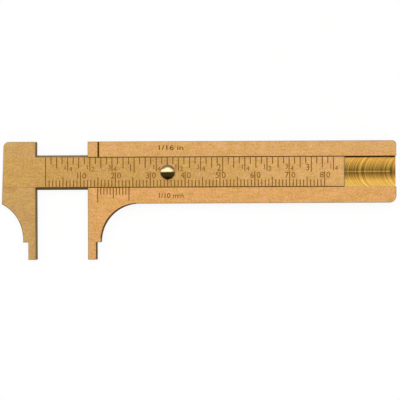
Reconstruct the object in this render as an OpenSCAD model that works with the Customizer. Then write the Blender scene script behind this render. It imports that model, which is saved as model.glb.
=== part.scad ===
// Pocket caliper of solid brass with a dovetail slide.
// The frame carries one jaw, a dovetail channel and the vernier. The slide bar runs in the channel,
// carries the millimetre and inch scales and ends in the head with the other jaw.
// Millimetres, +Z up out of the scale face. The origin is on the back face, under the zero of the
// vernier, on the centre line of the channel.

/* [Frame] */
// Length of the frame along the scale
frame_l = 88.6; // [60:0.1:150]
// Thickness of the frame and of the head
frame_t = 3; // [2.6:0.1:5]
// Width of the upper rail, at the face
rail_top_w = 4.5; // [3:0.1:8]
// Width of the lower rail, at the face
rail_low_w = 4.7; // [3:0.1:8]
// Radius of the upper corner at the far end
end_r_top = 1.2; // [0.8:0.1:2.5]
// Radius of the lower corner at the far end
end_r_low = 2; // [0.8:0.1:2.5]
// Edge break on the outline, on the face and on the back
edge_c = 0.2; // [0.1:0.05:0.35]

/* [Slide] */
// Reading at which the caliper is shown
opening = 14.9; // [0:0.1:80]
// Width of the channel, at the face
slot_w = 8.7; // [7.6:0.1:14]
// Depth of the channel
slot_d = 1.3; // [1.2:0.05:1.8]
// Lean of the dovetail flanks from the vertical, in degrees
dovetail_deg = 30; // [15:1:40]
// Play between the bar and each flank of the channel
slide_clear = 0.06; // [0.03:0.01:0.15]
// Gap between the bar and the floor of the channel
floor_gap = 0.1; // [0.05:0.05:0.3]
// Edge break along the seam between the bar and the rails
seam_c = 0.1; // [0.05:0.01:0.2]
// Edge break along the seam between the bar and the head
seat_c = 0.03; // [0.01:0.01:0.1]
// Length of bar that stays in the frame at the stop
min_engaged = 6; // [5.5:0.1:20]

/* [Jaws] */
// Reach of the jaws below the lower rail
jaw_reach = 16; // [16:0.5:30]
// Height of the narrow nib at the tip of each jaw
nib_h = 5; // [2:0.5:5]
// Width of the nib on the frame's jaw
nib_w = 2.5; // [1.5:0.1:3.5]
// Width of the nib on the head's jaw
head_nib_w = 2.25; // [1.5:0.05:3.5]
// Width of each jaw above its nib
neck_w = 3.75; // [3:0.05:6]
// Radius of the finger arc behind each jaw
finger_r = 11; // [8:0.5:11]
// Width of the head at its heel
head_w = 9.8; // [8:0.1:14]
// How much narrower the head is at its top
head_taper = 0.6; // [0:0.05:1]
// Radius of the head's upper corner
head_r = 1.6; // [0.8:0.1:3]

/* [Scales] */
// Distance of the zero lines from the measuring faces
zero_off = 2.85; // [1:0.05:6]
// Width of a graduation line
line_w = 0.26; // [0.1:0.01:0.3]
// Depth of the engraving
line_d = 0.08; // [0.04:0.01:0.2]
// Width of the inch index line on the upper rail, which is read at its zero edge
index_w = 0.5; // [0.2:0.05:0.8]
// Bar left plain past the last millimetre line
metric_margin = 5.7; // [3:0.1:12]
// Bar left plain past the last inch line
inch_margin = 3.1; // [2:0.1:12]

/* [Thumb stud] */
// Distance of the stud from the zero line
stud_x = 35; // [10:0.5:50]
// Diameter of the stud's head
stud_d = 4.2; // [3:0.1:6]
// Height of the straight rim under the dome
stud_rim = 0.4; // [0.1:0.05:1]
// Height of the dome above its rim
stud_dome = 0.95; // [0.5:0.05:1.8]
// Diameter of the stud's shank
shank_d = 1.8; // [1.2:0.1:2.4]

/* [Friction spring] */
// Length of the leaf spring under the bar
spring_l = 8; // [7:0.1:14]
// Width of the leaf spring
spring_w = 2.6; // [1.6:0.1:2.8]
// Thickness of the leaf spring
spring_t = 0.2; // [0.1:0.05:0.25]
// Depth of the pocket that holds the spring
pocket_d = 0.5; // [0.45:0.05:0.7]
// Distance of the spring's tip from the end of the bar
spring_inset = 1.2; // [0.8:0.1:4]

/* [Pins] */
// Diameter of the stop pin in the channel floor
stop_d = 1.2; // [0.8:0.1:1.6]
// Distance of the stop pin from the frame's measuring face
stop_x = 3; // [2:0.1:5]
// Distance of the stop pin from the centre line
stop_y = 2.8; // [2.7:0.1:3]
// Diameter of the pins that hold the bar in the head
jaw_pin_d = 1.5; // [0.8:0.1:2]
// Distance of each jaw pin from the centre line
jaw_pin_y = 2.3; // [1.5:0.1:3]
// Diameter of the spring rivet's shank
rivet_d = 1; // [0.6:0.1:1.2]
// Play round a pin or a shank in its hole
pin_clear = 0.01; // [0:0.005:0.03]

/* [Hidden] */
$fn = 64;

brass = [0.85, 0.66, 0.40];
scale_brass = [0.80, 0.61, 0.35];
stud_brass = [0.90, 0.78, 0.48];
spring_bronze = [0.72, 0.50, 0.30];

// How far a cutter stands out of what it cuts
over = edge_c;
// An inch in millimetres, and the divisions of an inch
inch = 25.4;
inch_parts = 16;

// Where the measuring faces of the frame and of the head stand. Each part is drawn from its own face.
frame_x = -zero_off;
slide_x = frame_x - opening;

// Heights of the outline, measured from the centre line of the channel
top_y = slot_w / 2 + rail_top_w;
low_y = -slot_w / 2 - rail_low_w;
tip_y = low_y - jaw_reach;
step_y = tip_y + nib_h;

// Levels in the thickness
floor_z = frame_t - slot_d;
bar_z = floor_z + floor_gap;
bar_t = frame_t - bar_z;
roof_z = bar_z + pocket_d;
seam_z = frame_t - seam_c;

// The bar is as long as the frame, so that they end flush when the jaws are closed
bar_l = frame_l;
max_open = frame_l - min_engaged;

// Centres of the finger arcs behind the frame's jaw and behind the head's jaw
frame_arc = [neck_w + finger_r, low_y - finger_r];
head_arc_x = neck_w + finger_r;
head_arc = [-head_arc_x, low_y - sqrt(finger_r * finger_r - pow(head_arc_x - head_w, 2))];

// Heel, where the head's back edge meets the finger arc, and the lean of that edge
heel = [-head_w, low_y];
head_lean = head_taper / (top_y - low_y);
// The head's round upper corner turns a little short of the back edge, which leaves it with a faint bend
head_turn = 80;
head_foot_y = top_y - head_r + head_r * cos(head_turn);
head_corner_foot = [heel.x + head_lean * (head_foot_y - low_y), head_foot_y];
head_corner = [head_corner_foot.x + head_r * sin(head_turn), top_y - head_r];

// Lengths of the graduation lines, from the seam
mm_len = [2.1, 2.9, 4.4];
inch_len = [2.05, 3.2, 4, 4.5];
vernier_len = [2.1, 3.2, 4.4, 3.8];
vernier_n = 10;
vernier_step = (vernier_n - 1) / vernier_n;
mm_count = floor(frame_l - zero_off - metric_margin);
inch_count = floor((frame_l - zero_off - inch_margin) * inch_parts / inch);

// Room round the pieces under the bar
pocket_room = 0.3;
stop_room = 0.15;
stop_rise = 0.5;
stop_groove_d = 0.6;
rivet_head_d = 2;
rivet_head_t = 0.2;
// Metal of the bar left over the blind holes
hole_cover = 0.3;
rivet_in = bar_t - pocket_d - hole_cover;
jaw_pin_in = bar_t - hole_cover;
tail_d = 2.6;
tail_t = 0.45;
// Gap between the rubbing point of the spring and the floor of the channel
rub_gap = 0.02;
// Flat length of the spring at its rivet, and length of its turned-up tip
spring_flat = 2.6;
spring_tip = 0.9;
spring_lift = 0.15;
spring_x = bar_l - spring_inset - spring_l;
rivet_x = spring_x + spring_flat / 2;

// Half width of the channel, and of the bar in it, at a level
function slot_half(z) = slot_w / 2 + (frame_t - z) * tan(dovetail_deg);
function bar_half(z) = slot_half(z) - slide_clear;

// A section in Y and Z from the points of its +Y side, listed from the bottom up
function both_sides(points) =
    concat(points, [for (i = [len(points) - 1 : -1 : 0]) [-points[i].x, points[i].y]]);

// Length of a graduation line by its number
function mm_line(i) = i % 10 == 0 ? mm_len[2] : i % 5 == 0 ? mm_len[1] : mm_len[0];
function inch_line(i) =
    i % inch_parts == 0 ? inch_len[3] : i % 4 == 0 ? inch_len[2] : i % 2 == 0 ? inch_len[1] : inch_len[0];
function vernier_line(i) =
    i == 0 ? vernier_len[2] : i == vernier_n ? vernier_len[3] : i == vernier_n / 2 ? vernier_len[1]
    : vernier_len[0];

// A profile in Y and Z, drawn out along X
module along_x(x, l) translate([x, 0, 0]) rotate([90, 0, 90]) linear_extrude(l) children();

// A profile in X and Z, drawn out along Y to both sides of the centre line
module across_y(w) rotate([90, 0, 0]) linear_extrude(w, center = true) children();

// The corner that an edge break takes off, with the edge at the origin and the material at its left and below.
// The side below the edge may lean out from the vertical.
module corner_profile(c, lean = 0) {
    past = c * tan(lean) + over * (1 + tan(lean));
    polygon([[-c - over * (1 + tan(lean)), over], [past, over], [past, -c - over]]);
}

// The same corner for the face and, turned over, for the back
module both_faces(c) {
    translate([0, frame_t]) corner_profile(c);
    mirror([0, 1]) corner_profile(c);
}

// Breaks the straight edge from a to b of an outline that runs with its material on the left.
// The cutter runs past an outer corner by its ends' extensions.
module break_line(a, b, past_a = over, past_b = over) {
    run = b - a;
    l = norm(run);
    if (l > line_d)
        translate(a) rotate(atan2(run.y, run.x))
            along_x(-past_a, l + past_a + past_b) mirror([1, 0]) both_faces(edge_c);
}

// Breaks an outer round corner, from one angle to another
module break_corner(centre, r, from, to)
    translate(centre) rotate(from) rotate_extrude(angle = to - from)
        translate([r, 0]) both_faces(edge_c);

// Breaks the edge of a hollow arc, from one angle to another
module break_hollow(centre, r, from, to)
    translate(centre) rotate(from) rotate_extrude(angle = to - from)
        translate([r, 0]) mirror([1, 0]) both_faces(edge_c);

// One engraved line across the face, from one height to another
module engraved(x, y0, y1, w = line_w)
    translate([x - w / 2, min(y0, y1), frame_t - line_d]) cube([w, abs(y1 - y0), line_d + over]);

// Jaw and nib on the +X side of a measuring face, without the arc behind them
module jaw_outline(tip_w) {
    translate([0, step_y]) square([neck_w, low_y - step_y]);
    translate([0, tip_y]) square([tip_w, step_y - tip_y]);
}

module frame_outline() {
    difference() {
        translate([0, low_y]) square([frame_l, top_y - low_y]);
        translate([frame_l - end_r_low, low_y]) square(end_r_low);
        translate([frame_l - end_r_top, top_y - end_r_top]) square(end_r_top);
    }
    translate([frame_l - end_r_low, low_y + end_r_low]) circle(end_r_low);
    translate([frame_l - end_r_top, top_y - end_r_top]) circle(end_r_top);
    jaw_outline(nib_w);
    difference() {
        translate([neck_w, max(frame_arc.y, step_y)]) square([finger_r, low_y - max(frame_arc.y, step_y)]);
        translate(frame_arc) circle(finger_r, $fn = 128);
    }
}

module frame_breaks() {
    break_line([0, tip_y], [nib_w, tip_y]);
    break_line([nib_w, tip_y], [nib_w, step_y], over, 0);
    break_line([nib_w, step_y], [neck_w, step_y], 0, over);
    break_line([neck_w, step_y], [neck_w, frame_arc.y], over, 0);
    break_hollow(frame_arc, finger_r, 80, 190);
    break_line([frame_arc.x, low_y], [frame_l - end_r_low, low_y], 0, over);
    break_corner([frame_l - end_r_low, low_y + end_r_low], end_r_low, -90, 0);
    break_line([frame_l, low_y + end_r_low], [frame_l, top_y - end_r_top]);
    break_corner([frame_l - end_r_top, top_y - end_r_top], end_r_top, 0, 90);
    break_line([frame_l - end_r_top, top_y], [0, top_y]);
    break_line([0, top_y], [0, tip_y]);
}

// The dovetail channel, with the broken edges of the rails
module channel() along_x(-over, frame_l + 2 * over) polygon(both_sides([
    [slot_half(floor_z), floor_z], [slot_half(seam_z), seam_z],
    [slot_half(frame_t) + seam_c, frame_t], [slot_half(frame_t) + seam_c, frame_t + over]
]));

module vernier() for (i = [0 : vernier_n])
    engraved(zero_off + i * vernier_step, -slot_half(frame_t) + over, -slot_half(frame_t) - vernier_line(i));

module stop_hole() translate([stop_x, stop_y, -over]) cylinder(d = stop_d + 2 * pin_clear, h = frame_t);

// Body of the caliper: rails, channel, jaw and vernier in one piece
module frame() color(brass) translate([frame_x, 0, 0]) difference() {
    linear_extrude(frame_t) frame_outline();
    channel();
    frame_breaks();
    vernier();
    engraved(zero_off + index_w / 2, slot_half(frame_t) - over, top_y + over, index_w);
    stop_hole();
}

module head_outline() {
    difference() {
        polygon([
            [0, head_arc.y], [0, top_y], [heel.x + head_taper, top_y],
            [heel.x - head_lean * (heel.y - head_arc.y), head_arc.y]
        ]);
        translate(head_corner) difference() {
            translate([-2 * head_r, 0]) square(2 * head_r);
            circle(head_r);
        }
        translate(head_arc) circle(finger_r, $fn = 128);
    }
    mirror([1, 0]) jaw_outline(head_nib_w);
}

// Back edge of the head, which the end of the bar shares
module head_back_break() break_line(head_corner_foot, heel);

module head_breaks() {
    break_line([-head_nib_w, tip_y], [0, tip_y]);
    break_line([0, tip_y], [0, top_y]);
    break_line([0, top_y], [head_corner.x, top_y]);
    break_corner(head_corner, head_r, 90, 180);
    head_back_break();
    break_hollow(head_arc, finger_r, -10, 90);
    break_line([-neck_w, head_arc.y], [-neck_w, step_y], 0, over);
    break_line([-neck_w, step_y], [-head_nib_w, step_y], over, 0);
    break_line([-head_nib_w, step_y], [-head_nib_w, tip_y], 0, over);
}

// Section of the bar, with the slight edge break that it has in the head
module bar_section() polygon(both_sides([
    [bar_half(bar_z), bar_z], [bar_half(frame_t - seat_c), frame_t - seat_c],
    [bar_half(frame_t) - seat_c, frame_t]
]));

// Breaks the bar's upper edges from the head to its far end
module bar_seam_breaks() along_x(0, bar_l + over) for (side = [0, 1]) mirror([side, 0])
    translate([bar_half(frame_t), frame_t]) corner_profile(seam_c, dovetail_deg);

// Places of the pins that hold the bar in the head
module at_jaw_pins() for (side = [-1, 1]) translate([-head_w / 2, side * jaw_pin_y, 0]) children();

module jaw_pin_holes() at_jaw_pins()
    translate([0, 0, -over]) cylinder(d = jaw_pin_d + 2 * pin_clear, h = bar_z + jaw_pin_in + over);

module millimetre_scale() for (i = [1 : mm_count])
    engraved(zero_off + i, -slot_half(frame_t) - over, -slot_half(frame_t) + mm_line(i));

module inch_scale() for (i = [1 : inch_count])
    engraved(zero_off + i * inch / inch_parts, slot_half(frame_t) + over, slot_half(frame_t) - inch_line(i));

module zero_line() engraved(zero_off, -slot_half(frame_t) - over, slot_half(frame_t) + over);

// Blind groove under the bar that the stop pin runs in
module stop_groove() translate([0, stop_y, bar_z - over]) {
    d = stop_d + 2 * stop_room;
    h = stop_groove_d + over;
    translate([stop_x, -d / 2, 0]) cube([max_open, d, h]);
    for (x = [stop_x, stop_x + max_open]) translate([x, 0, 0]) cylinder(d = d, h = h);
}

module spring_pocket() translate([spring_x - pocket_room, 0, bar_z - over]) {
    w = spring_w + pocket_room;
    translate([0, -w / 2, 0]) cube([spring_l + 2 * pocket_room, w, pocket_d + over]);
}

module rivet_hole() translate([rivet_x, 0, bar_z]) cylinder(d = rivet_d + 2 * pin_clear, h = pocket_d + rivet_in);

// Hole for the stud's shank, widened below for its spread tail
module stud_hole() translate([zero_off + stud_x, 0, bar_z]) {
    cylinder(d = shank_d + 2 * pin_clear, h = frame_t);
    translate([0, 0, -over]) cylinder(d = tail_d + 2 * pin_clear, h = tail_t + over);
}

// Dovetail bar with the scales, from the back of the head to its far end
module slide_bar() color(scale_brass) translate([slide_x, 0, 0]) difference() {
    intersection() {
        along_x(-2 * head_w, bar_l + 2 * head_w) bar_section();
        union() {
            linear_extrude(frame_t) head_outline();
            translate([-neck_w, low_y, 0]) cube([bar_l + 2 * neck_w, top_y - low_y, frame_t]);
        }
    }
    head_back_break();
    bar_seam_breaks();
    break_line([bar_l, -slot_w], [bar_l, slot_w]);
    zero_line();
    millimetre_scale();
    inch_scale();
    jaw_pin_holes();
    stop_groove();
    spring_pocket();
    rivet_hole();
    stud_hole();
}

// Head with the moving jaw, seated round the end of the bar
module jaw_head() color(brass) translate([slide_x, 0, 0]) difference() {
    linear_extrude(frame_t) head_outline();
    along_x(-2 * head_w, 3 * head_w) polygon(both_sides([
        [bar_half(bar_z), bar_z], [bar_half(frame_t), frame_t], [bar_half(frame_t), frame_t + over]
    ]));
    head_breaks();
    jaw_pin_holes();
}

// Domed stud for the thumb, riveted through the bar
module thumb_stud() color(stud_brass) translate([slide_x + zero_off + stud_x, 0, 0]) {
    dome_r = (pow(stud_d / 2, 2) + pow(stud_dome, 2)) / (2 * stud_dome);
    rim_z = frame_t + stud_rim;
    rotate_extrude() {
        intersection() {
            translate([0, rim_z + stud_dome - dome_r]) circle(dome_r, $fn = 128);
            translate([0, rim_z]) square([stud_d, stud_dome + over]);
        }
        translate([0, frame_t]) square([stud_d / 2, stud_rim]);
        translate([0, bar_z]) square([shank_d / 2, bar_t]);
        translate([0, bar_z]) square([tail_d / 2, tail_t]);
    }
}

// A straight length of the spring's side view, with a round end
module leaf(a, b) {
    run = b - a;
    translate(a) rotate(atan2(run.y, run.x)) translate([0, -spring_t / 2]) square([norm(run), spring_t]);
    translate(b) circle(d = spring_t);
}

// Leaf spring that rubs on the floor of the channel and holds the bar where it is put
module friction_spring() color(spring_bronze) translate([slide_x + spring_x, 0, 0]) difference() {
    flat_z = roof_z - spring_t / 2;
    rub_z = floor_z + rub_gap + spring_t / 2;
    root = [0, flat_z];
    bend = [spring_flat, flat_z];
    rub = [spring_l - spring_tip, rub_z];
    tip = [spring_l - spring_t / 2, rub_z + spring_lift];
    across_y(spring_w) {
        leaf(root, bend);
        leaf(bend, rub);
        leaf(rub, tip);
    }
    translate([spring_flat / 2, 0, 0]) cylinder(d = rivet_d + 2 * pin_clear, h = frame_t);
}

// Rivet that holds the spring against the roof of its pocket
module spring_rivet() color(brass) translate([slide_x + rivet_x, 0, roof_z - spring_t]) {
    translate([0, 0, -rivet_head_t]) cylinder(d = rivet_head_d, h = rivet_head_t);
    cylinder(d = rivet_d, h = spring_t + rivet_in);
}

// Pin in the floor of the channel that stops the bar before it leaves the frame
module stop_pin() color(brass)
    translate([frame_x + stop_x, stop_y, 0]) cylinder(d = stop_d, h = floor_z + stop_rise);

// Pins driven through the back of the head into the bar
module jaw_pins() color(brass) translate([slide_x, 0, 0])
    at_jaw_pins() cylinder(d = jaw_pin_d, h = bar_z + jaw_pin_in);

frame();
slide_bar();
jaw_head();
thumb_stud();
friction_spring();
spring_rivet();
stop_pin();
jaw_pins();
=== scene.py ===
import math

import bmesh
import bpy
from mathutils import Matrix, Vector
from mathutils.geometry import intersect_point_line


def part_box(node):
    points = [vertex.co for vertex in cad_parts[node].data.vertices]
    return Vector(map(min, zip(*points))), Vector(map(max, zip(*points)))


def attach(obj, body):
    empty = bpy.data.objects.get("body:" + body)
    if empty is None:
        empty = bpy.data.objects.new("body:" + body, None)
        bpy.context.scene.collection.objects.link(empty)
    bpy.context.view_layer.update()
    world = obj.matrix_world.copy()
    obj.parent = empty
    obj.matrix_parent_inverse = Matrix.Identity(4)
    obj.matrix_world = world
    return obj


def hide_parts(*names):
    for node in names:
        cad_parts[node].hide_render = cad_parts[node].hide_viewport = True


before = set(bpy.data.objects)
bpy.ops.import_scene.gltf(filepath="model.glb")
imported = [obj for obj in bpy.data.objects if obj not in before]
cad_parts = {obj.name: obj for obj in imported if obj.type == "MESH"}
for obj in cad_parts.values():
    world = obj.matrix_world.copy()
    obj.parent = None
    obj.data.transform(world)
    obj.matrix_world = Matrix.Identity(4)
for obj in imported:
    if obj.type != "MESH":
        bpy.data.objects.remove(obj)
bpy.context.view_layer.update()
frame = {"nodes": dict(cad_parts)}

bl_info = {
    "name": "Pocket Caliper",
    "version": (1, 0, 0),
    "blender": (4, 5, 0),
    "location": "3D View > Sidebar > Caliper",
    "description": "Dresses the packed pocket caliper with brass finishes and engraved numbers",
    "category": "Add Mesh",
}

MM = 0.001
INCH = 0.0254

FRAME_LOW, FRAME_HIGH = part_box("frame")
HEAD_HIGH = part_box("jaw_head")[1]
BAR_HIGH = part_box("slide_bar")[1]
STUD_LOW, STUD_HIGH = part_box("thumb_stud")
# Height of the scale face, and the place of the bar's zero line: the vernier's zero is at the origin
FACE_Z = FRAME_HIGH[2]
ZERO_X = HEAD_HIGH[0] - FRAME_LOW[0]
# Half width of the channel at the face and on its floor
SLOT_HALF = 4.35 * MM
FLOOR_HALF = 5.1 * MM
# Top of the frame's nib, and level with it the middle of the finger recess behind the jaw
NIB_TOP = FRAME_LOW[1] + 5.0 * MM
NECK_WIDTH = 3.75 * MM
RECESS_RADIUS = 11.0 * MM
RECESS_MIDDLE = Vector((FRAME_LOW[0] + NECK_WIDTH + RECESS_RADIUS, NIB_TOP, FACE_Z))
# Heights that differ by less than a hair count as the same, and corners closer than the weld are one
HAIR = 0.01 * MM
WELD = 1e-7


def colour(name, words, value):
    """A colour setting, as linear light."""
    return bpy.props.FloatVectorProperty(
        name=name, description=words, default=value, size=3, min=0.0, max=1.0, subtype="COLOR"
    )


def length(name, words, value):
    """A length setting, in metres."""
    return bpy.props.FloatProperty(name=name, description=words, default=value, min=0.0, unit="LENGTH")


def share(name, words, value):
    """A setting between nothing and all."""
    return bpy.props.FloatProperty(
        name=name, description=words, default=value, min=0.0, max=1.0, subtype="FACTOR"
    )


def brightness(name, words, value):
    """A setting for the strength of a light."""
    return bpy.props.FloatProperty(name=name, description=words, default=value, min=0.0)


class CaliperNumbers(bpy.types.PropertyGroup):
    """Sizes of the engraved numbers."""

    ten_height: length("Tens", "Height of the millimetre scale's numbers", 1.7 * MM)
    fraction_height: length("Fractions", "Height of each figure of an inch fraction", 1.32 * MM)
    inch_height: length("Inches", "Height of the whole inch numbers", 1.9 * MM)
    note_height: length("Unit notes", "Height of the unit notes on the rails", 1.4 * MM)
    note_width: length("Note width", "Width of the unit notes on the rails", 7.0 * MM)
    depth: length("Depth", "Depth of the engraved figures", 0.06 * MM)


class CaliperFinish(bpy.types.PropertyGroup):
    """Colours of the brass finishes."""

    frame: colour("Frame", "Satin face of the frame", (0.78, 0.435, 0.15))
    bar: colour("Bar", "Satin face of the slide bar", (0.68, 0.395, 0.115))
    head: colour("Head", "Satin face of the head", (0.67, 0.4, 0.135))
    edge: colour("Edges", "Rubbed metal on the broken edges", (0.58, 0.43, 0.235))
    # The sides and the flanks are darker than the faces, partly duller metal and partly painted shade
    side: colour("Sides", "Dull metal on the milled sides", (0.28, 0.19, 0.055))
    flank: colour("Flanks", "Oiled metal on the bar's dovetail flanks", (0.19, 0.135, 0.06))
    # This dark colour is grime in the seams and lines, and also painted shade along the seams and behind the
    # jaw
    seam: colour("Seams", "Grime along the edges of the slide", (0.07, 0.03, 0.004))
    floor: colour("Channel", "Bright metal on the milled channel floor", (1.0, 0.56, 0.10))
    stud: colour("Stud", "Polished metal of the thumb stud", (0.73, 0.51, 0.28))
    fill: colour("Lines", "Brown filling of the engraved lines", (0.2, 0.08, 0.004))
    spring: colour("Spring", "Rolled bronze of the friction spring", (0.52, 0.27, 0.11))
    grain: share("Grain", "Strength of the satin grain", 0.2)


class CaliperStage(bpy.types.PropertyGroup):
    """Camera and light."""

    camera_x: length("Camera X", "Place of the camera along the scale", 29.35 * MM)
    camera_y: bpy.props.FloatProperty(
        name="Camera Y", description="Place of the camera across the scale", default=-8.07 * MM, unit="LENGTH"
    )
    distance: length("Distance", "Height of the camera above the scale face", 0.25)
    field: length("Field", "Width of the scale face that the picture takes in", 0.1147)
    roll: bpy.props.FloatProperty(
        name="Roll", description="Turn of the picture", default=-0.0045, subtype="ANGLE"
    )
    sky: brightness("Sky", "Brightness of the lit half of the room", 2.27)
    dim: colour("Dim", "Colour of the room's dim half", (0.065, 0.065, 0.03))
    fill: brightness("Fill", "Brightness of the soft box in front", 1.6)


class Nodes:
    """A node tree in the making. Each call adds a node and joins it to what it is given."""

    def __init__(self, tree):
        self.tree = tree
        tree.nodes.clear()

    def add(self, kind, sockets=None, **settings):
        """A node of this kind. Each socket gets a plain value or a link from another node's output."""
        node = self.tree.nodes.new("ShaderNode" + kind)
        for name, value in settings.items():
            setattr(node, name, value)
        for name, value in (sockets or {}).items():
            if isinstance(value, bpy.types.NodeSocket):
                self.tree.links.new(value, node.inputs[name])
            else:
                node.inputs[name].default_value = value
        return node

    def axes(self, vector):
        """The three parts of a vector, by the names of their axes."""
        return self.add("SeparateXYZ", {"Vector": vector}).outputs

    def fit(self, value, low, high, to_low=0.0, to_high=1.0, smooth=False):
        """A value carried from one span to another, and held at its ends."""
        sockets = {"Value": value, "From Min": low, "From Max": high, "To Min": to_low, "To Max": to_high}
        kind = "SMOOTHSTEP" if smooth else "LINEAR"
        return self.add("MapRange", sockets, interpolation_type=kind).outputs["Result"]

    def math(self, operation, a, b=0.0):
        return self.add("Math", {0: a, 1: b}, operation=operation).outputs["Value"]

    def times(self, a, b):
        return self.math("MULTIPLY", a, b)

    def weighed(self, first, *others):
        """The sum of values, each given with its weight."""
        total = self.times(*first)
        for other in others:
            total = self.math("ADD", total, self.times(*other))
        return total

    def mix(self, factor, a, b, blend="MIX"):
        """A blend of two colours. The sockets go by number, because other types share their names."""
        return self.add("Mix", {0: factor, 6: a, 7: b}, data_type="RGBA", blend_type=blend).outputs[2]


class Finish(Nodes):
    """A material in the making, in object coordinates."""

    def __init__(self, name):
        self.material = bpy.data.materials.new(name)
        self.material.use_nodes = True
        super().__init__(self.material.node_tree)
        self.place = self.add("TexCoord").outputs["Object"]

    def noise(self, size, vector=None, detail=2.0, seed=0.0):
        """Cloudy noise with features of about that size, in metres."""
        sockets = {
            "Vector": vector or self.place,
            "W": seed,
            "Scale": 1.0 / size,
            "Detail": detail,
            "Roughness": 0.55,
        }
        return self.add("TexNoise", sockets, noise_dimensions="4D").outputs["Fac"]

    def bands(self, along, size, detail):
        """Noise that changes along one value only, with bands of about that size, in metres."""
        sockets = {"W": along, "Scale": 1.0 / size, "Detail": detail}
        return self.add("TexNoise", sockets, noise_dimensions="1D").outputs["Fac"]

    def stretched(self, x, y, z, turn=0.0):
        """Object coordinates, scaled by these factors and then turned about Z."""
        sockets = {"Vector": self.place, "Scale": (x, y, z), "Rotation": (0.0, 0.0, turn)}
        return self.add("Mapping", sockets).outputs["Vector"]

    def shifted(self, base, axis, start, end, factors):
        """A colour that changes by these factors between two places along an axis."""
        along = self.fit(self.axes(self.place)[axis], start, end)
        return self.mix(along, base, (*factors, 1.0), "MULTIPLY")

    def rough(self, noise, smoothest, roughest):
        """Roughness that follows a noise."""
        return self.fit(noise, 0.3, 0.7, smoothest, roughest)

    def bump(self, height, strength, distance=0.02 * MM):
        sockets = {"Height": height, "Strength": strength, "Distance": distance}
        return self.add("Bump", sockets).outputs["Normal"]

    def finish(self, **sockets):
        """The material, from the settings of its shader, which are written with _ for each space."""
        named = {name.replace("_", " "): value for name, value in sockets.items()}
        shader = self.add("BsdfPrincipled", named)
        self.add("OutputMaterial", {"Surface": shader.outputs["BSDF"]})
        return self.material


def rgba(value):
    """A colour setting with its opacity."""
    return (*value, 1.0)


def tinted(metal, red, green, blue):
    """A colour with its parts scaled, as a node's colour."""
    return (min(1.0, metal[0] * red), min(1.0, metal[1] * green), min(1.0, metal[2] * blue), 1.0)


def satin_brass(name, metal, grain, shift=None):
    """Satin face: rosy and golden patches, a fine grain and short rubbed streaks along the scale.

    Shift gives an axis, two places along it, and the factors by which the colour changes between them.
    """
    f = Finish(name)
    cloud = f.noise(2.6 * MM, detail=3.0)
    speck = f.noise(0.5 * MM, seed=3.0)
    streak = f.noise(0.9 * MM, f.stretched(0.25, 1.6, 1.0), seed=5.0)
    patch = f.noise(1.3 * MM, seed=9.0)
    tone = f.fit(f.weighed((cloud, 0.2), (speck, 0.6), (streak, 0.2)), 0.40, 0.60)
    golden = f.mix(tone, tinted(metal, 0.83, 0.78, 0.55), tinted(metal, 1.09, 1.20, 1.10))
    rosy = f.mix(tone, tinted(metal, 0.88, 0.77, 0.80), tinted(metal, 1.15, 1.17, 1.50))
    base = f.mix(f.fit(patch, 0.40, 0.60), golden, rosy)
    if shift:
        base = f.shifted(base, *shift)
    return f.finish(
        Base_Color=base,
        Metallic=0.55,
        Roughness=f.rough(speck, 0.48, 0.6),
        Normal=f.bump(f.weighed((speck, 0.6), (streak, 0.4)), grain),
    )


def rubbed_edge(name, metal):
    """Broken edges, rubbed smoother and paler than the faces."""
    f = Finish(name)
    nick = f.noise(0.8 * MM, detail=3.0)
    return f.finish(
        Base_Color=f.mix(f.fit(nick, 0.35, 0.65), tinted(metal, 0.8, 0.8, 0.8), rgba(metal)),
        Metallic=0.7,
        Roughness=f.rough(nick, 0.38, 0.52),
        Normal=f.bump(nick, 0.2),
    )


def milled_side(name, metal, shift=None):
    """Dull sides with fine cutter lines that run along them. Shift is as for the satin face."""
    f = Finish(name)
    lines = f.noise(0.22 * MM, f.stretched(0.12, 0.12, 1.0))
    cloud = f.noise(1.6 * MM, detail=3.0)
    tone = f.fit(f.weighed((lines, 0.5), (cloud, 0.5)), 0.35, 0.65)
    base = f.mix(tone, tinted(metal, 0.72, 0.68, 0.6), rgba(metal))
    if shift:
        base = f.shifted(base, *shift)
    return f.finish(
        Base_Color=base,
        Metallic=0.35,
        Roughness=f.rough(cloud, 0.5, 0.66),
        Specular_IOR_Level=0.2,
        Specular_Tint=(0.4, 0.3, 0.2, 1.0),
        Normal=f.bump(lines, 0.35),
    )


def grimed_edge(name, metal, grime, bright_span):
    """Edges along the slide, dark with grime and with painted shade for the gap beside them.

    The last argument gives a side, 1 for the upper edge and -1 for the lower, and two places along the scale
    between which that edge turns to plain metal; the other edge keeps its grime and painted shade.
    """
    f = Finish(name)
    axes = f.axes(f.place)
    thin = f.noise(0.9 * MM, detail=3.0)
    dirt_and_shade = f.mix(f.fit(thin, 0.35, 0.7), rgba(grime), tinted(grime, 1.9, 1.8, 1.6))
    side, start, end = bright_span
    on_side = f.math("GREATER_THAN", f.times(axes["Y"], side), 0.0)
    clean = f.times(f.fit(axes["X"], start, end), on_side)
    return f.finish(
        Base_Color=f.mix(clean, dirt_and_shade, rgba(metal)),
        Metallic=f.fit(clean, 0.0, 1.0, 0.0, 0.6),
        Roughness=f.rough(thin, 0.5, 0.7),
        Specular_IOR_Level=0.15,
        Normal=f.bump(thin, 0.3),
    )


def dark_filling(name, fill):
    """Dull wax or grime in lines, and the same dark colour as painted shade on some edges, rubbed thin here
    and there.
    """
    f = Finish(name)
    thin = f.noise(0.7 * MM, detail=3.0)
    return f.finish(
        Base_Color=f.mix(f.fit(thin, 0.4, 0.75), rgba(fill), tinted(fill, 2.0, 2.0, 1.8)),
        Metallic=0.0,
        Roughness=f.rough(thin, 0.6, 0.8),
        Specular_IOR_Level=0.0,
        Normal=f.bump(thin, 0.3),
    )
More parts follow.
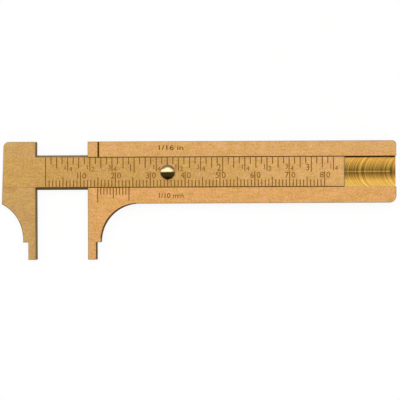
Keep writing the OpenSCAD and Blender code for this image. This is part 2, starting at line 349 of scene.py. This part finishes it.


# Places across the channel floor, from its middle: the core of the dark band, a painted reflection, and where
# the band ends below and above, the spans over which painted light below turns to painted shade above and a
# painted shadow fills the upper corner, and the span over which the spring's track fades
DARK_BAND_CORE = 0.5 * MM
DARK_BAND_BELOW = 2.7 * MM
DARK_BAND_ABOVE = 3.6 * MM
LIT_TO_SHADED = (-3.9 * MM, -1.0 * MM)
CORNER_SHADOW = (3.9 * MM, 4.15 * MM)
TRACK_EDGE = (0.1 * MM, 0.2 * MM)
# The track stops short of the floor's end and fades out over this length
TRACK_MARGIN = 1.4 * MM
TRACK_FADE = 0.3 * MM
# The cutter is a little wider than the floor: this is its radius over the floor's half width, squared
CUTTER_SPARE = 1.04


def milled_floor(name, metal, track_end):
    """Bright channel floor with the cutter's arcs and the rubbed track of the friction spring, and with
    painted light and shade: a dark middle band, a lighter lower side and a shadow in the upper corner.
    """
    f = Finish(name)
    axes = f.axes(f.place)
    across = axes["Y"]
    # An arc is known by the place of the cutter's middle
    rise = f.math("SUBTRACT", FLOOR_HALF ** 2 * CUTTER_SPARE, f.times(across, across))
    reach = f.math("SQRT", f.math("MAXIMUM", rise, 0.0))
    arc = f.math("ADD", axes["X"], reach)
    broad = f.bands(arc, 0.9 * MM, 2.0)
    cuts = f.weighed((f.bands(arc, 0.2 * MM, 1.0), 0.6), (broad, 0.4))
    # The reflections spread across the arcs
    spread = f.add("CombineXYZ", {"X": reach, "Y": f.times(across, -1.0)}).outputs["Vector"]
    tangent = f.add("VectorMath", {0: spread}, operation="NORMALIZE").outputs["Vector"]
    # The floor's middle is painted dark, as a painted reflection of the dim room in the arcs there, and the
    # spring has drawn a pale line through it
    off = f.math("ABSOLUTE", across)
    upper = f.fit(across, -DARK_BAND_CORE, DARK_BAND_CORE)
    clear = f.fit(off, DARK_BAND_CORE, f.fit(upper, 0.0, 1.0, DARK_BAND_BELOW, DARK_BAND_ABOVE))
    along_track = f.fit(axes["X"], track_end - TRACK_FADE, track_end, 1.0, 0.0)
    track = f.times(f.fit(off, *TRACK_EDGE, 1.0, 0.0), along_track)
    tone = f.fit(cuts, 0.41, 0.59)
    # The lower side is painted lighter and the upper side darker, as painted light and shade
    shaded_above = f.mix(tone, tinted(metal, 0.68, 0.5, 0.22), tinted(metal, 1.0, 1.1, 1.2))
    lit_below = f.mix(tone, tinted(metal, 0.96, 0.62, 0.2), tinted(metal, 1.0, 1.45, 1.9))
    # The dark band is painted shade, a little different above and below the middle
    rubbed = f.mix(
        upper,
        f.mix(tone, tinted(metal, 0.09, 0.06, 0.01), tinted(metal, 0.40, 0.33, 0.12)),
        f.mix(tone, tinted(metal, 0.06, 0.06, 0.01), tinted(metal, 0.50, 0.50, 0.28)),
    )
    pale = f.mix(
        f.fit(broad, 0.4, 0.6),
        tinted(metal, 0.4, 0.47, 0.5),
        tinted(metal, 0.6, 0.75, 0.95),
    )
    base = f.mix(clear, rubbed, f.mix(f.fit(across, *LIT_TO_SHADED), lit_below, shaded_above))
    base = f.mix(track, base, pale)
    return f.finish(
        # A painted shadow darkens the upper corner under the rail
        Base_Color=f.mix(f.fit(across, *CORNER_SHADOW), base, tinted(metal, 0.08, 0.05, 0.02)),
        Metallic=0.5,
        Roughness=f.fit(track, 0.0, 1.0, 0.36, 0.5),
        Anisotropic=0.7,
        Tangent=tangent,
        Normal=f.bump(f.times(cuts, f.math("SUBTRACT", 1.0, track)), 0.9, 0.04 * MM),
    )


def polished_brass(name, metal):
    """Polished metal with faint wipe marks."""
    f = Finish(name)
    wipe = f.noise(0.5 * MM, f.stretched(0.3, 1.4, 1.0, 0.4), 3.0)
    return f.finish(
        Base_Color=f.mix(f.fit(wipe, 0.35, 0.7), rgba(metal), tinted(metal, 0.9, 0.88, 0.84)),
        Metallic=1.0,
        Roughness=f.rough(wipe, 0.08, 0.16),
        Normal=f.bump(wipe, 0.06),
    )


def turned_pin(name, metal):
    """Filed pin ends with fine straight marks."""
    f = Finish(name)
    marks = f.noise(0.18 * MM, f.stretched(0.2, 1.0, 1.0, 0.6))
    return f.finish(
        Base_Color=f.mix(f.fit(marks, 0.35, 0.65), tinted(metal, 0.78, 0.78, 0.78), rgba(metal)),
        Metallic=0.8,
        Roughness=f.rough(marks, 0.34, 0.5),
        Normal=f.bump(marks, 0.25),
    )


# Faces that turn by less than the first angle are one, and edges that turn by more than the second are crisp
FLATNESS = math.radians(0.2)
CREASE = math.radians(24.0)


def node_copy(node):
    """The mesh of a CAD node as one welded bmesh."""
    bm = bmesh.new()
    bm.from_mesh(frame["nodes"][node].data)
    bmesh.ops.remove_doubles(bm, verts=bm.verts, dist=WELD)
    bmesh.ops.dissolve_limit(
        bm, angle_limit=FLATNESS, verts=bm.verts, edges=bm.edges, delimit={"NORMAL"}
    )
    return bm


def to_piece(bm, name, materials):
    """A finished piece from a bmesh, with smooth curves and crisp edges."""
    mesh = bpy.data.meshes.new(name)
    bm.to_mesh(mesh)
    bm.free()
    for material in materials:
        mesh.materials.append(material)
    piece = bpy.data.objects.new(name, mesh)
    bpy.context.scene.collection.objects.link(piece)
    soften(piece)
    return piece


def soften(piece):
    """Smooth shading, broken at the crisp edges."""
    # Normals that came along from the CAD mesh would no longer fit
    stale = piece.data.attributes.get("custom_normal")
    if stale:
        piece.data.attributes.remove(stale)
    piece.data.polygons.foreach_set("use_smooth", [True] * len(piece.data.polygons))
    piece.data.set_sharp_from_angle(angle=CREASE)


def shown(source):
    """A new mesh of an object as its modifiers or its font leave it."""
    bpy.context.view_layer.update()
    return bpy.data.meshes.new_from_object(source.evaluated_get(bpy.context.evaluated_depsgraph_get()))


# Places of the finishes among a plate's materials; the last is dark filling that is also painted shade
FACE, EDGE, SIDE, FLOOR, LINE, SEAM, GRIME_AND_SHADE = range(7)
# Engraved lines and seams reach no deeper than this below the scale face
LINE_DEPTH = 0.09 * MM
SEAM_DEPTH = 0.15 * MM
# Seams lie no farther than this from the channel's edges
SEAM_WIDTH = 0.25 * MM
# Least part of a unit normal along an axis, for a face square to it, a slanted one and one that just faces it
LEVEL = 0.95
SLANTED = 0.6
FACING = 0.05


def sort_faces(bm):
    """Gives each face of a plate its finish. Seams are the broken edges along the slide."""
    for face in bm.faces:
        middle = face.calc_center_median()
        normal = face.normal
        lowest = min(vert.co.z for vert in face.verts)
        in_line = lowest > FACE_Z - LINE_DEPTH
        on_seam = all(abs(abs(vert.co.y) - SLOT_HALF) < SEAM_WIDTH for vert in face.verts)
        if normal.z > LEVEL:
            if middle.z > FACE_Z - HAIR:
                face.material_index = FACE
            else:
                face.material_index = LINE if in_line else FLOOR
        elif normal.z < -LEVEL:
            face.material_index = FACE
        elif on_seam and lowest > FACE_Z - SEAM_DEPTH:
            face.material_index = SEAM
        elif abs(normal.z) > SLANTED:
            # The broken edges of the finger recesses, which lie below the rails, count as sides and take
            # their darker colour as painted shade
            by_jaws = middle.y < -SLOT_HALF and middle.x < STUD_LOW[0]
            in_recess = by_jaws and abs(normal.x) > FACING and normal.y < -FACING
            face.material_index = SIDE if in_recess else EDGE
        else:
            face.material_index = LINE if in_line else SIDE


# The edge of the frame's recess widens by this, times x times y squared of the direction from its middle
RECESS_EASE = 0.47 * MM


def ease_recess(edges):
    """Widens the broken edge of the finger recess on the scale face.

    It grows by up to about 0.18 mm, and by less towards both ends of the arc, as a file leaves it.
    """
    for vert in {vert for face in edges for vert in face.verts}:
        if vert.co.z > FACE_Z - HAIR:
            away = (vert.co - RECESS_MIDDLE).normalized()
            vert.co += away * RECESS_EASE * abs(away.x) * away.y ** 2


def figure(text, x, y, height, depth, width=None):
    """A solid figure that stands through the scale face, with its middle at x, y."""
    curve = bpy.data.curves.new("figure", "FONT")
    curve.body = text
    curve.extrude = 0.5
    curve.resolution_u = 4
    source = bpy.data.objects.new("figure", curve)
    bpy.context.scene.collection.objects.link(source)
    mesh = shown(source)
    bpy.data.objects.remove(source)
    bpy.data.curves.remove(curve)
    bm = bmesh.new()
    bm.from_mesh(mesh)
    bpy.data.meshes.remove(mesh)
    # The figure is still about a metre tall here
    bmesh.ops.remove_doubles(bm, verts=bm.verts, dist=1e-6)
    low = Vector([min(vert.co[i] for vert in bm.verts) for i in range(3)])
    high = Vector([max(vert.co[i] for vert in bm.verts) for i in range(3)])
    size = high - low
    tall = height / size.y
    wide = width / size.x if width else tall
    bmesh.ops.translate(bm, verts=bm.verts, vec=-(low + high) / 2.0)
    bmesh.ops.scale(bm, verts=bm.verts, vec=(wide, tall, 2.0 * depth / size.z))
    bmesh.ops.translate(bm, verts=bm.verts, vec=(x, y, FACE_Z))
    return bm


def close_gaps(bm):
    """Splits the open edges that a cut leaves at the corners that lie on them, and welds the parts."""
    corners = {vert for edge in bm.edges if edge.is_boundary for vert in edge.verts}
    for corner in corners:
        for edge in [edge for edge in bm.edges if edge.is_boundary and corner not in edge.verts]:
            start, end = edge.verts
            place, part = intersect_point_line(corner.co, start.co, end.co)
            if 0.0 < part < 1.0 and (place - corner.co).length < WELD / 2.0:
                bmesh.utils.edge_split(edge, start, part)
    bmesh.ops.remove_doubles(bm, verts=bm.verts, dist=WELD)


def engrave(piece, figures, fill):
    """Cuts solid figures out of a piece and gives their floors the dark filling."""
    joined = bmesh.new()
    for bm in figures:
        mesh = bpy.data.meshes.new("figure")
        bm.to_mesh(mesh)
        bm.free()
        joined.from_mesh(mesh)
        bpy.data.meshes.remove(mesh)
    cutter = to_piece(joined, "figures", [fill])
    cut = piece.modifiers.new("figures", "BOOLEAN")
    cut.operation = "DIFFERENCE"
    cut.solver = "EXACT"
    cut.material_mode = "TRANSFER"
    cut.object = cutter
    mesh = shown(piece)
    piece.modifiers.clear()
    bm = bmesh.new()
    bm.from_mesh(mesh)
    close_gaps(bm)
    bm.to_mesh(mesh)
    bm.free()
    piece.data = mesh
    mesh.name = piece.name
    bpy.data.objects.remove(cutter)
    soften(piece)


# Places of the figures on the bar, along the scale from their line and across from the bar's middle
TEN_PLACES = ((-0.78 * MM, -0.95 * MM), (1.08 * MM, -0.95 * MM))
INCH_PLACES = ((-1.05 * MM, 1.25 * MM),)
FRACTION_PLACES = ((-0.72 * MM, 1.48 * MM), (0.84 * MM, 0.95 * MM))
# Upper and lower figure of a fraction, by the quarters past the whole inch
FRACTIONS = {1: "14", 2: "12", 3: "34"}
# The numbers end at 80 mm and at three and a quarter inches
LAST_TEN = 8
LAST_QUARTER = 13
# Unit notes on the rails, with their places across the scale
NOTES = {"1/16 in": 7.0 * MM, "1/10 mm": -6.72 * MM}
NOTE_X = 21.1 * MM


def beside(line_x, text, places, height, depth):
    """The figures of a number, each at its place beside a scale line."""
    return [figure(sign, line_x + x, y, height, depth) for sign, (x, y) in zip(text, places)]


def metric_figures(sizes):
    """Tens of millimetres, with the line between their figures."""
    figures = []
    for ten in range(1, LAST_TEN + 1):
        line_x = ZERO_X + 10 * ten * MM
        figures += beside(line_x, str(10 * ten), TEN_PLACES, sizes.ten_height, sizes.depth)
    return figures


def inch_figures(sizes):
    """Quarter inches as small fractions about their lines, and whole inches beside theirs."""
    figures = []
    for quarter in range(1, LAST_QUARTER + 1):
        line_x = ZERO_X + quarter * INCH / 4.0
        whole, part = divmod(quarter, 4)
        if part:
            figures += beside(line_x, FRACTIONS[part], FRACTION_PLACES, sizes.fraction_height, sizes.depth)
        else:
            figures += beside(line_x, str(whole), INCH_PLACES, sizes.inch_height, sizes.depth)
    return figures


# Length over which an edge darkened with grime and painted shade turns to plain metal
EDGE_FADE = 0.4 * MM


class CALIPER_OT_frame(bpy.types.Operator):
    """Makes the frame with its rails, channel, jaw and vernier"""

    bl_idname = "caliper.frame"
    bl_label = "Frame"

    def execute(self, context):
        tones = context.scene.caliper_finish
        sizes = context.scene.caliper_numbers
        bm = node_copy("frame")
        sort_faces(bm)
        self.darken(bm)
        # Dark filling for the index and the notes, which also paints shade on the edges behind the jaw
        grime = dark_filling("frame_grime_and_shade", tones.seam)
        # The lower rail is redder and a little lighter, and its edge turns to plain metal where the channel
        # lies open, while the upper rail's edge keeps its painted shadow there
        redder = ("Y", 6.0 * MM, -7.0 * MM, (1.08, 1.03, 0.98))
        bright_span = (-1.0, BAR_HIGH[0] - EDGE_FADE / 2.0, BAR_HIGH[0] + EDGE_FADE / 2.0)
        piece = to_piece(bm, "caliper_frame", [
            satin_brass("frame_satin", tones.frame, tones.grain, redder),
            rubbed_edge("frame_edge", tones.edge),
            milled_side("frame_side", tones.side),
            milled_floor("channel_floor", tones.floor, FRAME_HIGH[0] - TRACK_MARGIN),
            dark_filling("frame_line_filling", tones.fill),
            grimed_edge("frame_seam", tones.edge, tones.seam, bright_span),
            grime,
        ])
        notes = [
            figure(text, NOTE_X, y, sizes.note_height, sizes.depth, sizes.note_width)
            for text, y in NOTES.items()
        ]
        engrave(piece, notes, grime)
        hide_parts("frame")
        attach(piece, "frame_body")
        return {"FINISHED"}

    def darken(self, bm):
        """Puts dark filling in the inch index of the upper rail, and the same colour as painted shade on the
        edges behind the jaw.
        """
        recess = [face for face in bm.faces if face.material_index == SIDE and face.normal.z > SLANTED]
        ease_recess(recess)
        for face in bm.faces:
            middle = face.calc_center_median()
            on_index = face.material_index == LINE and middle.y > 0.0
            by_nib = face.material_index == EDGE and face.normal.x > SLANTED and middle.y < NIB_TOP
            if on_index or by_nib or face in recess:
                face.material_index = GRIME_AND_SHADE


class CALIPER_OT_slide_bar(bpy.types.Operator):
    """Makes the slide bar with its two scales and their numbers"""

    bl_idname = "caliper.slide_bar"
    bl_label = "Slide bar"

    def execute(self, context):
        tones = context.scene.caliper_finish
        sizes = context.scene.caliper_numbers
        bm = node_copy("slide_bar")
        sort_faces(bm)
        # The bar's ends take the sides' colour rather than the flanks' darker painted shade
        for face in bm.faces:
            if face.material_index == SIDE and abs(face.normal.x) > LEVEL:
                face.material_index = FLOOR
        fill = dark_filling("scale_line_filling", tones.fill)
        # The face is paler towards its far end, the upper flank is painted lighter as light from above, and
        # the upper edge turns to plain metal between the head and the frame, while the lower edge keeps its
        # painted shade
        paler = ("X", 20.0 * MM, BAR_HIGH[0], (1.2, 1.19, 1.45))
        lighter_above = ("Y", -1.0 * MM, 1.0 * MM, (1.9, 1.95, 2.0))
        bright_span = (1.0, FRAME_LOW[0], FRAME_LOW[0] - EDGE_FADE)
        piece = to_piece(bm, "caliper_slide_bar", [
            satin_brass("bar_satin", tones.bar, tones.grain, paler),
            rubbed_edge("bar_edge", tones.edge),
            milled_side("bar_side", tones.flank, lighter_above),
            milled_side("bar_end", tones.side),
            fill,
            grimed_edge("bar_seam", tones.edge, tones.seam, bright_span),
        ])
        engrave(piece, metric_figures(sizes) + inch_figures(sizes), fill)
        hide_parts("slide_bar")
        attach(piece, "slide_body")
        return {"FINISHED"}


class CALIPER_OT_jaw_head(bpy.types.Operator):
    """Makes the head with the moving jaw"""

    bl_idname = "caliper.jaw_head"
    bl_label = "Head"

    def execute(self, context):
        tones = context.scene.caliper_finish
        bm = node_copy("jaw_head")
        sort_faces(bm)
        # The head has no lines or seams, so its materials end with the seat of the bar
        piece = to_piece(bm, "caliper_jaw_head", [
            satin_brass("head_satin", tones.head, tones.grain),
            rubbed_edge("head_edge", tones.edge),
            milled_side("head_side", tones.side),
            milled_side("head_seat", tones.side),
        ])
        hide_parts("jaw_head")
        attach(piece, "slide_body")
        return {"FINISHED"}


# Height of the stud's rim above the scale face, and sizes of its shank and its riveted tail
STUD_RIM = 0.53 * MM
SHANK_RADIUS = 0.9 * MM
TAIL_RADIUS = 1.3 * MM
TAIL_HEIGHT = 0.45 * MM
# Steps along the dome's curve, and around a full turn
DOME_STEPS = 24
TURN_STEPS = 72


class CALIPER_OT_thumb_stud(bpy.types.Operator):
    """Makes the polished thumb stud with its shank"""

    bl_idname = "caliper.thumb_stud"
    bl_label = "Thumb stud"

    def execute(self, context):
        tones = context.scene.caliper_finish
        middle = (STUD_LOW[0] + STUD_HIGH[0]) / 2.0
        bm = bmesh.new()
        verts = [bm.verts.new((middle + r, 0.0, z)) for r, z in self.outline()]
        edges = [bm.edges.new(pair) for pair in zip(verts, verts[1:])]
        bmesh.ops.spin(
            bm, geom=verts + edges, cent=(middle, 0.0, 0.0), axis=(0.0, 0.0, 1.0), angle=math.tau,
            steps=TURN_STEPS, use_merge=True
        )
        bmesh.ops.remove_doubles(bm, verts=bm.verts, dist=WELD)
        bmesh.ops.recalc_face_normals(bm, faces=bm.faces)
        piece = to_piece(bm, "caliper_thumb_stud", [polished_brass("stud_polished", tones.stud)])
        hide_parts("thumb_stud")
        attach(piece, "slide_body")
        return {"FINISHED"}

    def outline(self):
        """Radius and height of each corner, from the top of the dome down to the tail."""
        radius = (STUD_HIGH[0] - STUD_LOW[0]) / 2.0
        low = STUD_LOW[2]
        top = STUD_HIGH[2]
        rise = top - FACE_Z - STUD_RIM
        dome = (radius ** 2 + rise ** 2) / (2.0 * rise)
        span = math.asin(radius / dome)
        turns = [span * step / DOME_STEPS for step in range(DOME_STEPS + 1)]
        cap = [(dome * math.sin(turn), top - dome + dome * math.cos(turn)) for turn in turns]
        return cap + [
            (radius, FACE_Z),
            (SHANK_RADIUS, FACE_Z),
            (SHANK_RADIUS, low + TAIL_HEIGHT),
            (TAIL_RADIUS, low + TAIL_HEIGHT),
            (TAIL_RADIUS, low),
            (0.0, low),
        ]


class CALIPER_OT_inner_pieces(bpy.types.Operator):
    """Finishes the spring, its rivet and the pins, which keep their CAD shapes"""

    bl_idname = "caliper.inner_pieces"
    bl_label = "Inner pieces"

    def execute(self, context):
        tones = context.scene.caliper_finish
        pin = turned_pin("pin_filed", tones.edge)
        strip = milled_side("spring_strip", tones.spring)
        finishes = {"friction_spring": strip, "spring_rivet": pin, "stop_pin": pin, "jaw_pins": pin}
        for node, material in finishes.items():
            for slot in frame["nodes"][node].material_slots:
                slot.link = "OBJECT"
                slot.material = material
        return {"FINISHED"}


WHITE = (1.0, 1.0, 1.0, 1.0)
# Half the side of the floor in metres, the share of light that it throws back, and the glow that whitens it
STAGE_REACH = 6.0
PAPER = 0.1
PAPER_GLOW = 0.91
# Side of the soft box, and its place from the channel's centre line under the camera
SOFT_BOX_SIZE = 0.8
SOFT_BOX_PLACE = Vector((0.0, -0.7, 0.5))


class CALIPER_OT_stage(bpy.types.Operator):
    """Sets the white floor, the room's light and the camera"""

    bl_idname = "caliper.stage"
    bl_label = "Stage"

    def execute(self, context):
        scene = context.scene
        stage = scene.caliper_stage
        scene.view_settings.view_transform = "Standard"
        self.floor()
        self.room(scene, stage)
        self.soft_box(scene, stage)
        self.camera(scene, stage)
        return {"FINISHED"}

    def floor(self):
        """Paper that looks white to the eye and in reflections, and keeps the caliper's shadow."""
        f = Finish("stage_floor")
        path = f.add("LightPath").outputs
        seen = f.math("MAXIMUM", path["Is Camera Ray"], path["Is Glossy Ray"])
        seen = f.math("MAXIMUM", seen, path["Is Transmission Ray"])
        paper = f.add("BsdfDiffuse", {"Color": (PAPER, PAPER, PAPER, 1.0)}).outputs["BSDF"]
        glow = f.add("Emission", {"Strength": f.times(seen, PAPER_GLOW)}).outputs["Emission"]
        both = f.add("AddShader", {0: paper, 1: glow}).outputs["Shader"]
        f.add("OutputMaterial", {"Surface": both})
        bm = bmesh.new()
        bmesh.ops.create_grid(bm, x_segments=1, y_segments=1, size=STAGE_REACH)
        bmesh.ops.translate(bm, verts=bm.verts, vec=(0.0, 0.0, -HAIR))
        to_piece(bm, "stage_floor", [f.material])

    def room(self, scene, stage):
        """A bright half of the room behind the caliper, fading towards the floor, and a dim half in front.

        A direction has length 1: its Y is 1 straight behind the caliper, and its Z is 1 overhead.
        """
        world = bpy.data.worlds.new("room")
        world.use_nodes = True
        sky = Nodes(world.node_tree)
        way = sky.axes(sky.add("TexCoord").outputs["Generated"])
        # The light reaches lower at the room's two ends, and is weaker at the far one
        aside = sky.math("SUBTRACT", sky.math("ABSOLUTE", way["X"]), sky.math("ABSOLUTE", way["Y"]))
        height = sky.math("ADD", way["Z"], sky.times(sky.math("MAXIMUM", aside, 0.0), 0.6))
        behind = sky.fit(way["Y"], -0.04, 0.18)
        overhead = sky.fit(height, 0.45, 0.88, 0.12, 1.0, smooth=True)
        lit = sky.times(sky.times(behind, overhead), sky.fit(way["X"], 0.5, 0.95, 1.0, 0.3))
        in_front = sky.fit(way["Y"], -0.6, -0.9)
        dim = sky.mix(in_front, rgba(stage.dim), tinted(stage.dim, 0.25, 0.15, 0.0))
        tone = sky.mix(lit, dim, (stage.sky, stage.sky, stage.sky, 1.0))
        # The floor ends in pale walls, which stand low all round
        tone = sky.mix(sky.fit(way["Z"], 0.03, 0.09, 1.0, 0.0), tone, WHITE)
        glow = sky.add("Background", {"Color": tone}).outputs["Background"]
        sky.add("OutputWorld", {"Surface": glow})
        scene.world = world

    def soft_box(self, scene, stage):
        """A soft box in front that lightens the near sides and stays out of the reflections."""
        light = bpy.data.lights.new("soft_box", "AREA")
        light.size = SOFT_BOX_SIZE
        light.energy = stage.fill * math.pi * SOFT_BOX_SIZE ** 2
        lamp = bpy.data.objects.new("soft_box", light)
        lamp.location = SOFT_BOX_PLACE + Vector((stage.camera_x, 0.0, 0.0))
        lamp.rotation_euler = (-SOFT_BOX_PLACE).to_track_quat("-Z", "Y").to_euler()
        lamp.visible_glossy = False
        scene.collection.objects.link(lamp)

    def camera(self, scene, stage):
        """A camera that looks straight down on the scale face."""
        view = bpy.data.cameras.new("camera")
        view.lens = view.sensor_width * stage.distance / stage.field
        view.clip_start = 10.0 * MM
        camera = bpy.data.objects.new("camera", view)
        camera.location = (stage.camera_x, stage.camera_y, FACE_Z + stage.distance)
        camera.rotation_euler = (0.0, 0.0, stage.roll)
        scene.collection.objects.link(camera)
        scene.camera = camera


class CALIPER_PT_panel(bpy.types.Panel):
    """Lists the pieces of the caliper and their settings"""

    bl_idname = "CALIPER_PT_panel"
    bl_label = "Pocket Caliper"
    bl_space_type = "VIEW_3D"
    bl_region_type = "UI"
    bl_category = "Caliper"

    def draw(self, context):
        layout = self.layout
        for step in STEPS:
            layout.operator(step.bl_idname)
        for group in GROUPS:
            settings = getattr(context.scene, group)
            box = layout.box()
            for name in settings.__annotations__:
                box.prop(settings, name)


STEPS = (
    CALIPER_OT_frame, CALIPER_OT_slide_bar, CALIPER_OT_jaw_head, CALIPER_OT_thumb_stud,
    CALIPER_OT_inner_pieces, CALIPER_OT_stage,
)
GROUPS = {
    "caliper_numbers": CaliperNumbers, "caliper_finish": CaliperFinish, "caliper_stage": CaliperStage,
}


def register():
    for kind in (*GROUPS.values(), *STEPS, CALIPER_PT_panel):
        bpy.utils.register_class(kind)
    for name, kind in GROUPS.items():
        setattr(bpy.types.Scene, name, bpy.props.PointerProperty(type=kind))


def unregister():
    for name in GROUPS:
        delattr(bpy.types.Scene, name)
    for kind in reversed((*GROUPS.values(), *STEPS, CALIPER_PT_panel)):
        bpy.utils.unregister_class(kind)


def main():
    register()
    bpy.ops.caliper.frame()
    bpy.ops.caliper.slide_bar()
    bpy.ops.caliper.jaw_head()
    bpy.ops.caliper.thumb_stud()
    bpy.ops.caliper.inner_pieces()
    bpy.ops.caliper.stage()


if __name__ == "__main__":
    main()
